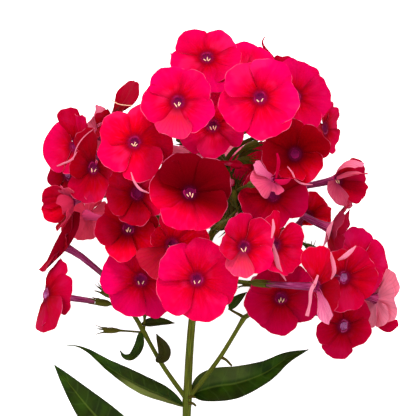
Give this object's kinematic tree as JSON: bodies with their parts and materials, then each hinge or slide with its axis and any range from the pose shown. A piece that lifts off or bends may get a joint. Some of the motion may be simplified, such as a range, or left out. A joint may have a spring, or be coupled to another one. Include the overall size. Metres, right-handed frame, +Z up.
{
  "type": "phlox flowering stem",
  "caption": "Cut flowering stem of garden phlox lying on its side, with a domed head of five-petalled florets and opposite leaves.",
  "frame": {"origin": "centre of the bounding box in plan, on the surface that the stem lies on", "axes": "+Z up from the surface, +Y along the stem from its cut end to the flower head, +X to the right as seen from above with the head away from the viewer"},
  "size_m": [0.1676, 0.2327, 0.1152],
  "materials": {
    "petal": "satin",
    "stem": "satin",
    "leaf": "satin"
  },
  "bodies": {
    "root": {"stem_and_calyces": "stem", "leaf_upper_left": "leaf", "leaf_upper_right": "leaf", "leaf_lower_left": "leaf", "leaf_lower_right": "leaf", "bloom_01": "petal", "bloom_02": "petal", "bloom_03": "petal", "bloom_04": "petal", "bloom_05": "petal", "bloom_06": "petal", "bloom_07": "petal", "bloom_08": "petal", "bloom_09": "petal", "bloom_10": "petal", "bloom_11": "petal", "bloom_12": "petal", "bloom_13": "petal", "bloom_14": "petal", "bloom_15": "petal", "bloom_16": "petal", "bloom_17": "petal", "bloom_18": "petal", "bloom_19": "petal", "bloom_20": "petal", "bloom_21": "petal", "bloom_22": "petal", "bloom_23": "petal", "bloom_24": "petal", "bloom_25": "petal", "bloom_26": "petal", "bloom_27": "petal", "bloom_28": "petal", "bloom_29": "petal", "bloom_30": "petal", "bloom_31": "petal", "bloom_32": "petal", "bloom_33": "petal", "bloom_34": "petal", "bloom_35": "petal", "bloom_36": "petal", "bloom_37": "petal", "bloom_38": "petal", "bloom_39": "petal", "bloom_40": "petal", "bloom_41": "petal", "bloom_42": "petal", "bloom_43": "petal", "bloom_44": "petal", "bloom_45": "petal", "bloom_46": "petal", "bloom_47": "petal", "bloom_48": "petal", "bloom_49": "petal", "bloom_50": "petal", "bloom_51": "petal", "bloom_52": "petal"}
  },
  "joints": []
}
